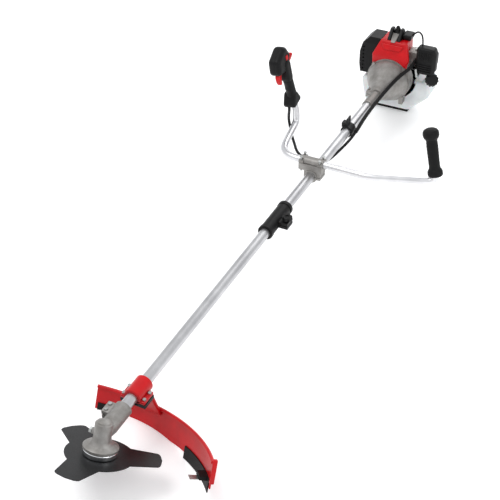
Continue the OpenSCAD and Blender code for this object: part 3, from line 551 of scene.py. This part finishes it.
def finger_column(side):
    """Part of a ring beside the seam: r = 14 less the finger grooves, drawn in under the neck."""
    h = np.linspace(24, 104, 72)[:, None]
    cut = np.arcsin(-SEAM_X / 14)
    span = (-np.pi / 2 - cut, np.pi / 2 + cut) if side > 0 else (np.pi / 2 + cut, 3 * np.pi / 2 - cut)
    angle = np.linspace(*span, 33)[None]
    front = np.clip(-np.sin(angle), 0, 1)
    drawn_in = 7 * np.clip((h - 90) / 14, 0, 1) ** 2
    r = 14 - 1.2 * front * (0.5 + 0.5 * np.cos((h - 30) * 2 * np.pi / 22)) - drawn_in
    x = np.maximum(side * r * np.cos(angle), side * SEAM_X + SEAM_MM) * side
    return skin(local(np.stack((x, r * np.sin(angle), h + 0 * angle), -1),
                      THROTTLE_FOOT_MM, THROTTLE_LEAN))


def throttle_half(side):
    """Head, neck, foot and column of one shell; the outer edge is round, the seam edge crisp."""
    reach = ((HEAD_CIRCLES, -27, 9, 11), (NECK_CIRCLES, -15, 13.5, 8), (FOOT_CIRCLES, -21, 15, 6))
    parts = []
    for circles, left, right, edge in reach:
        outline = hull_outline(circles)
        if side < 0:
            grid = pillow(outline, left, SEAM_X - SEAM_MM, edge, 0.6)
        else:
            grid = pillow(outline, SEAM_X + SEAM_MM, right, 0.6, edge)
        parts.append(skin(local(grid, THROTTLE_FOOT_MM, THROTTLE_LEAN)))
    return parts + [finger_column(side)]


shell_left = make_piece("throttle_shell_left_moulded", throttle_half(-1), "throttle_shell_left",
                        ["throttle_shell_left"], smooth_deg=50)
shell_right = make_piece("throttle_shell_right_moulded", throttle_half(1), "throttle_shell_right",
                         ["throttle_shell_right"], smooth_deg=50)
print_faces(shell_left, shell_right)

# %% Trigger and lockout
TRIGGER_OUTLINE = ((-17, 129), (-9, 127), (-12, 121), (-19, 117), (-23, 109), (-25, 98),
                   (-29, 93), (-35, 96), (-38, 108), (-37, 119), (-34, 124), (-24, 127))
LOCKOUT_OUTLINE = ((8.5, 136), (16, 140), (28, 142), (38, 146), (46, 145), (46, 139), (34, 134),
                   (20, 131), (10, 131))


def rounded_outline(points, count=96):
    """A closed Catmull-Rom curve through the corners, at even distances."""
    p = np.asarray(points, float)
    loop = np.concatenate((p[-2:], p, p[:3]))
    curve = smooth_route(np.c_[loop, np.zeros(len(loop))], 12)[24:-36, :2]
    return even(curve, count)


def lever(outline, left, right, edge):
    """The side outline pillowed across the lever's width."""
    grid = pillow(rounded_outline(outline), left, right, edge, edge)
    return skin(local(grid, THROTTLE_FOOT_MM, THROTTLE_LEAN))


trigger = make_piece("throttle_trigger_moulded", [lever(TRIGGER_OUTLINE, -15, -3, 2.2)],
                     "throttle_trigger", ["throttle_trigger"], smooth_deg=50)
lockout = make_piece("throttle_lockout_moulded", [lever(LOCKOUT_OUTLINE, -12, 6, 1.8)],
                     "throttle_lockout", ["throttle_lockout"], smooth_deg=50)
print_faces(trigger, lockout)

# %% [markdown]
# ## The blade guard
# The guard is one moulding: a wall that curves round the blade, a rolled lip on top, a thick rib
# on its end, and a web that runs up to a sleeve on the tube. The wall's section is drawn once and
# carried round the arc; where it would pass below the floor, its foot is lifted to the floor.

# %% Guard
HEAD_TILT = np.radians(24)
GUARD_CENTRE_MM, GUARD_R_MM, GUARD_TOP_MM, GUARD_H_MM = (-53, -130), 336.0, 1.0, 62.0
GUARD_WALL_MM, GUARD_LIP_MM, GUARD_FIRST_DEG, GUARD_LAST_DEG = 3.0, 4.0, 34, 104
FLOOR_MM = -130.0


def from_head(points):
    """Head frame to design frame: y = y' cos t + z' sin t, z = z' cos t - y' sin t."""
    x, y, z = np.moveaxis(np.asarray(points, float), -1, 0)
    return np.stack((x, y * np.cos(HEAD_TILT) + z * np.sin(HEAD_TILT),
                     z * np.cos(HEAD_TILT) - y * np.sin(HEAD_TILT)), -1)


def guard_wall():
    """Section (r, z) carried round; z is stretched so the foot stays at or above the floor."""
    lip = np.linspace(-0.5 * np.pi, 1.0 * np.pi, 14)
    roll = np.stack((GUARD_R_MM - GUARD_LIP_MM + GUARD_LIP_MM * np.cos(lip),
                     GUARD_TOP_MM - 3 + GUARD_LIP_MM * np.sin(lip)), -1)[3:]
    inner = GUARD_R_MM - GUARD_WALL_MM
    section = np.concatenate((((inner, GUARD_TOP_MM - GUARD_H_MM + 1),
                               (GUARD_R_MM - 1.5, GUARD_TOP_MM - GUARD_H_MM),
                               (GUARD_R_MM, GUARD_TOP_MM - GUARD_H_MM + 1),
                               (GUARD_R_MM, GUARD_TOP_MM - 30)), roll,
                              ((GUARD_R_MM - 2 * GUARD_LIP_MM, GUARD_TOP_MM - 5),
                               (inner, GUARD_TOP_MM - 6), (inner, GUARD_TOP_MM - 30))))
    angle = np.radians(np.linspace(GUARD_FIRST_DEG, GUARD_LAST_DEG, 90))[:, None]
    r, z = section[None, :, 0], section[None, :, 1]
    x = GUARD_CENTRE_MM[0] + r * np.cos(angle)
    y = GUARD_CENTRE_MM[1] + r * np.sin(angle)
    foot = (y * np.sin(HEAD_TILT) + FLOOR_MM) / np.cos(HEAD_TILT) + 0.3
    low = np.maximum(GUARD_TOP_MM - GUARD_H_MM, foot)
    share = (z - GUARD_TOP_MM) / -GUARD_H_MM
    z = np.where(share > 0.5, GUARD_TOP_MM - 31 + (share - 0.5) * 2 * (low - GUARD_TOP_MM + 31), z)
    return skin(at(from_head(np.stack((x, y, z), -1))))


def guard_rib():
    """The thick end rib: a rounded bar across the wall's first degrees."""
    ends = []
    for degrees in (GUARD_FIRST_DEG - 0.4, GUARD_FIRST_DEG + 0.4):
        a = np.radians(degrees)
        for r in (GUARD_R_MM - 2.5, GUARD_R_MM + 2.5):
            x, y = GUARD_CENTRE_MM[0] + r * np.cos(a), GUARD_CENTRE_MM[1] + r * np.sin(a)
            ends += [(x, y, GUARD_TOP_MM + 1.5), (x, y, GUARD_TOP_MM - 47)]
    return rounded_hull(from_head(ends), 2.4)


def tube_ring(y0, y1, inner, outer, edge, count=72):
    """A short sleeve on the drive tube: r over y, with both outer ends rounded."""
    profile = np.array(((inner, y0), (outer - edge, y0), (outer, y0 + edge), (outer, y1 - edge),
                        (outer - edge, y1), (inner, y1), (inner, y0)), float)
    angle = np.linspace(0, 2 * np.pi, count, endpoint=False)[None]
    r, y = profile[:, :1], profile[:, 1:]
    grid = np.stack((r * np.cos(angle), y + 0 * angle, r * np.sin(angle)), -1)
    return skin(at(grid), capped=False)


def guard_web():
    """A triangle from the sleeve down to the wall, 5 mm in from the wall's outer face."""
    corners = [(x, 150, z) for x in (-16, 16) for z in (-14, 4)]
    for degrees in (76, 80, 84, 88, 91):
        a = np.radians(degrees)
        x = GUARD_CENTRE_MM[0] + (GUARD_R_MM - 5) * np.cos(a)
        y = GUARD_CENTRE_MM[1] + (GUARD_R_MM - 5) * np.sin(a)
        corners += [tuple(point) for point in from_head([(x, y, -9), (x, y, -14)])]
    return rounded_hull(corners, 2.5)


guard = make_piece("guard_shield_moulded", [guard_wall(), guard_rib(), guard_web(),
                   tube_ring(112, 164, 13.1, 20, 1.5),
                   rounded_hull(slab((-29, 29), (112, 150), (-10.8, -3), 2), 2)],
                   "guard_shield", ["guard_shield"], smooth_deg=40)
print_faces(guard)

# %% [markdown]
# ## The engine's covers
# The red cover is a soft moulding: every edge is rolled. It is two rounded hulls, a broad face
# towards the tube and a narrower hood behind it, with a stepped ridge over the face. Behind the
# ridge a pale insert leads cooling air down to the plug, between two black cheeks.

# %% Engine cover, plug cover and insert
FACE_EDGE, HOOD_EDGE, RIDGE_EDGE = 6, 7, 2.2
face = rounded_hull(slab((-56, 52), (1595, 1606), (44, 50), FACE_EDGE)
                    + slab((-59, 57), (1597, 1611), (66, 78), FACE_EDGE)
                    + slab((-41, 45), (1613, 1626), (104, 118), FACE_EDGE), FACE_EDGE)
hood = rounded_hull(slab((-42, 43), (1601, 1683), (42, 48), HOOD_EDGE)
                    + slab((-40, 41), (1618, 1680), (100, 118), HOOD_EDGE), HOOD_EDGE)
ridge = rounded_hull([(-22, 1603.5, 96), (24, 1603.5, 96), (-30, 1607.5, 108), (32, 1607.5, 108),
                      (-22, 1612, 96), (24, 1612, 96), (-30, 1614, 108), (32, 1614, 108)],
                     RIDGE_EDGE)
cover = make_piece("engine_cover_moulded", [face, hood, ridge], "top_cover", ["top_cover"],
                   smooth_deg=40)


def cheek(foot_x, peak_x):
    """A thin upright plate over x, long at its foot and short at its two peaks."""
    foot = [(x, y, 119) for y in (1620, 1674) for x in foot_x]
    peak = [(x, y, z) for y, z in ((1640, 146), (1654, 145)) for x in peak_x]
    return rounded_hull(foot + peak, 2)


left_cheek, right_cheek = cheek((-19, -13), (-18, -13)), cheek((11, 17), (12, 17))
boot = rounded_hull([(-5, 1645, 130), (5, 1645, 130), (5, 1655, 130), (-5, 1655, 130),
                     (0, 1650, 148)], 6)
block = rounded_hull(slab((19, 46), (1637, 1674), (118, 134), 3), 3)
plug_cover = make_piece("plug_cover_moulded", [left_cheek, right_cheek, boot, block],
                        "plug_cover", ["plug_cover"], smooth_deg=40)
INSERT_CORNERS_MM = ((-6, 1612, 117), (4, 1612, 117), (-10.5, 1640, 132), (8.5, 1640, 132),
                     (-10, 1640, 116), (8, 1640, 116))
insert = make_piece("plug_well_insert", [rounded_hull(INSERT_CORNERS_MM, 1.5)], "plug_cover",
                    smooth_deg=40, material=finishes["cast_aluminium"])
PLUG_LEAD_ROUTE_MM = ((44, 1655, 128), (52, 1652, 138), (62, 1646, 148), (72, 1640, 151),
                      (81, 1634, 146), (86, 1629, 134), (88, 1626, 118))
plug_lead = free_cable("plug_lead_sleeve", PLUG_LEAD_ROUTE_MM, 5, "plug_cover")
print_faces(cover, plug_cover, insert, plug_lead)

# %% Air filter
FILTER_EDGE = 8
filter_front = rounded_hull(slab((76, 132), (1604, 1638), (34, 120), FILTER_EDGE)
                            + slab((82, 137), (1608, 1636), (44, 110), FILTER_EDGE), FILTER_EDGE)
filter_back = rounded_hull(slab((77, 130), (1606, 1664), (53, 92), 6), 6)
louvres = [rounded_hull(slab((84, 126), (1601.4, 1607), (44 + 7 * i, 47.4 + 7 * i), 1.2), 1.2)
           for i in range(4)]
fins = [rounded_hull(slab((84 + 7 * i, 87 + 7 * i), (1601.8, 1607), (84, 108), 1.2), 1.2)
        for i in range(6)]
air_filter = make_piece("air_filter_moulded", [filter_front, filter_back] + louvres + fins,
                        "air_filter", ["air_filter"], smooth_deg=40)
print_faces(air_filter)

# %% [markdown]
# ## The fuel tank
# Blow moulding leaves soft edges of about 10 mm. The tank is an outline seen along the tube, with
# the crankcase's bay cut out of its top, pillowed along the tube, plus the filler neck.

# %% Fuel tank
TANK_CIRCLES = ((-66, -88, 22), (50, -88, 22), (98, -42, 22), (104, -14, 14), (-84, -36, 14))
BAY_R_MM, BAY_GAP_MM, UPPER_HALF_MM = 69.0, 0.5, -60
TANK_FRONT_MM, TANK_BACK_MM, TANK_EDGE_MM = 1626, 1706, 9


def tank_body():
    """Outline minus the bay: upper points within the bay's width give way to a half circle."""
    loop = hull_outline(TANK_CIRCLES, 240)
    in_bay = (np.abs(loop[:, 0]) < BAY_R_MM + BAY_GAP_MM) & (loop[:, 1] > UPPER_HALF_MM)
    start = int(np.flatnonzero(in_bay)[0])
    kept = np.roll(loop, -start, axis=0)[~np.roll(in_bay, -start)]
    side = np.sign(kept[-1, 0])
    sweep_angle = np.linspace(0, np.pi, 60)
    bay = BAY_R_MM * np.stack((side * np.cos(sweep_angle), -np.sin(sweep_angle)), -1)
    bay = bay[(bay[:, 1] < kept[-1, 1]) | (bay[:, 0] * side < 0)]
    bay = bay[(bay[:, 1] < kept[0, 1]) | (bay[:, 0] * side > 0)]
    outline = np.concatenate((kept, bay))
    grid = pillow(even(outline, 300), TANK_FRONT_MM, TANK_BACK_MM, TANK_EDGE_MM, TANK_EDGE_MM)
    return skin(at(grid[..., (1, 0, 2)]))


neck_ring = np.linspace(0, 2 * np.pi, 48, endpoint=False)[None]
neck_r = np.array((15, 15, 12.2, 12.2))[:, None]
neck_h = np.array((-26, 1, 1, -26))[:, None]
neck = np.stack((neck_r * np.cos(neck_ring), neck_r * np.sin(neck_ring), neck_h + 0 * neck_ring), -1)
tank = make_piece("fuel_tank_moulded", [tank_body(), skin(local(neck, (125, 1619, 15), (35, 38)))],
                  "fuel_tank", ["fuel_tank"], smooth_deg=50)
print_faces(tank)

# %% [markdown]
# ## Floor
# The floor is a wide pale plate just under the stand. It is stage, not part of the machine.

# %% Floor
floor_mesh = bpy.data.meshes.new("studio_floor")
FLOOR_HALF = 14.0
floor_mesh.from_pydata([(-FLOOR_HALF, -FLOOR_HALF, 0), (FLOOR_HALF, -FLOOR_HALF, 0),
                        (FLOOR_HALF, FLOOR_HALF, 0), (-FLOOR_HALF, FLOOR_HALF, 0)], [],
                       [(0, 1, 2, 3)])
floor = bpy.data.objects.new("studio_floor", floor_mesh)
scene.collection.objects.link(floor)
floor_mesh.materials.append(surface_finish("pale_floor", "#FBFBFB", "#F8F8F8", 800, 60, 0.02,
                                           (0.75, 0.85), Emission_Strength=0.18))
